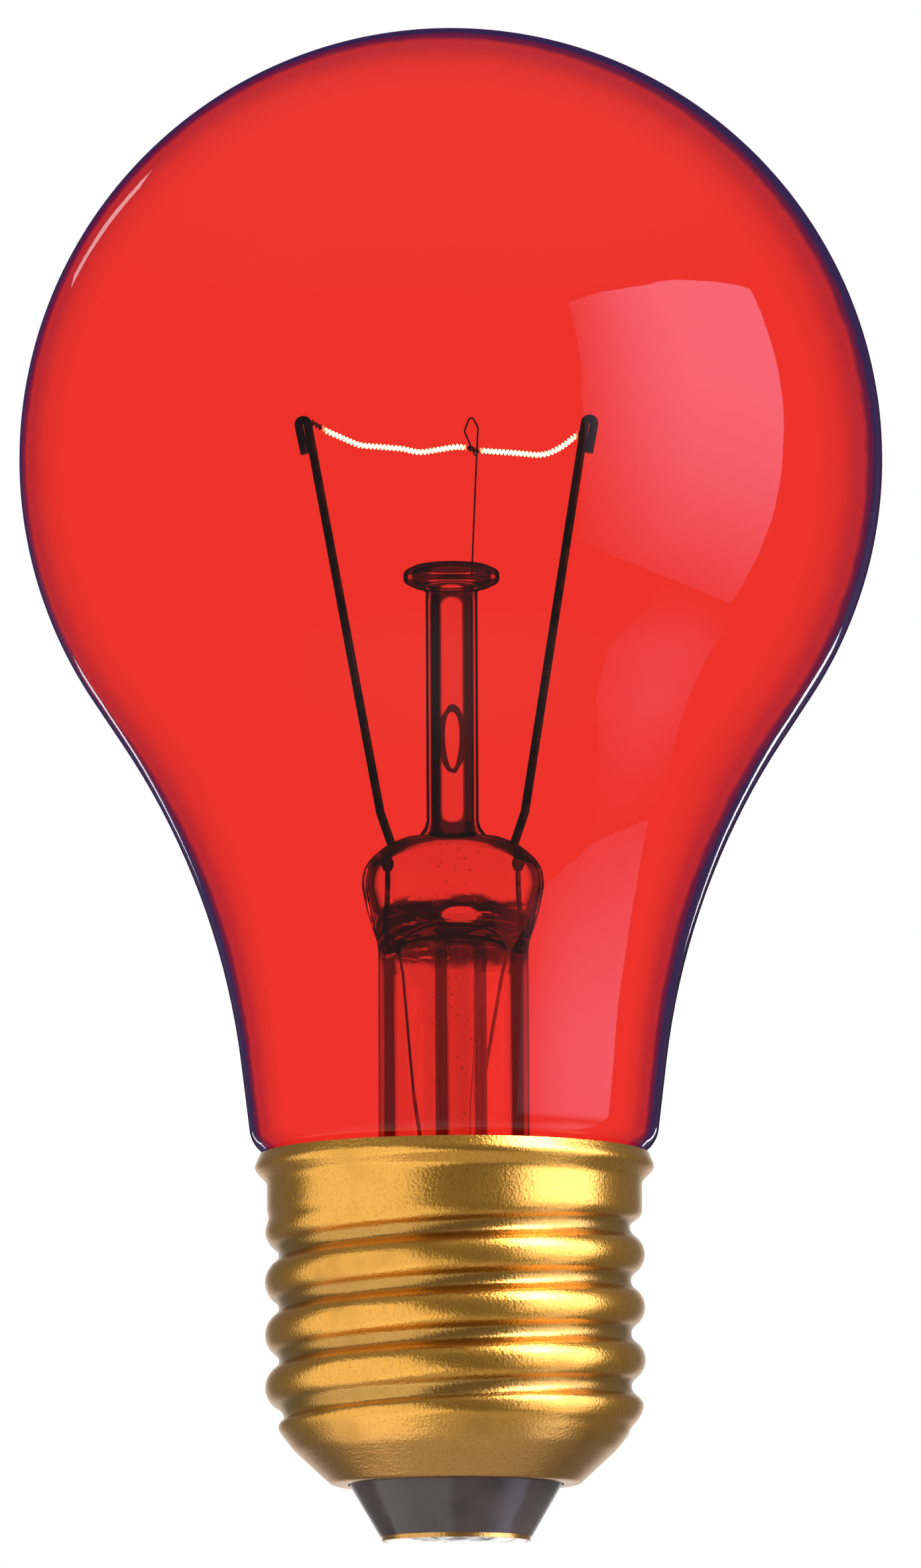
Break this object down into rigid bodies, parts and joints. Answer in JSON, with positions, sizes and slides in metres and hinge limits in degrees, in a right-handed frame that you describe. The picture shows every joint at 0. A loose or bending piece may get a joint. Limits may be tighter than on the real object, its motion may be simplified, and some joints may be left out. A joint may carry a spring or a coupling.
{
  "type": "incandescent light bulb",
  "caption": "Pear-shaped incandescent lamp of clear red glass with its stem, leads, coiled filament and anchor inside, and a brass screw cap with rolled thread.",
  "frame": {"origin": "centre of the centre contact's flat end, which is the bottom end of the screw cap", "axes": "+Z along the lamp's axis from the contact towards the glass; +X across the two leads, towards the right one; -Y is the front"},
  "size_m": [0.06, 0.06, 0.1055],
  "materials": {
    "red_glass": "blown glass, transparent red, polished",
    "stem_glass": "clear drawn glass tube",
    "lead_metal": "drawn nickel-plated wire",
    "seal_metal": "copper-clad seal wire, oxidised",
    "copper": "bare drawn copper wire",
    "anchor_metal": "drawn molybdenum wire",
    "filament_metal": "coiled tungsten wire, glowing",
    "cap_brass": "rolled brass sheet, satin with fine grain",
    "black_glass": "black moulded glass, glossy",
    "solder": "tin-lead solder, smooth with small dimples",
    "cement": "baked basing cement, dull"
  },
  "bodies": {
    "root": {"glass_envelope": "red_glass", "stem_flare": "stem_glass", "arbor_tube": "stem_glass", "exhaust_tube": "stem_glass", "left_lead_wire": "lead_metal", "right_lead_wire": "lead_metal", "left_seal_wire": "seal_metal", "right_seal_wire": "seal_metal", "fuse_wire": "lead_metal", "left_outer_lead": "copper", "right_outer_lead": "copper", "anchor_wire": "anchor_metal", "filament": "filament_metal", "cap_shell": "cap_brass", "cap_insulator": "black_glass", "contact_eyelet": "cap_brass", "contact_solder": "solder", "rim_solder": "solder", "cap_cement": "cement"}
  },
  "joints": []
}
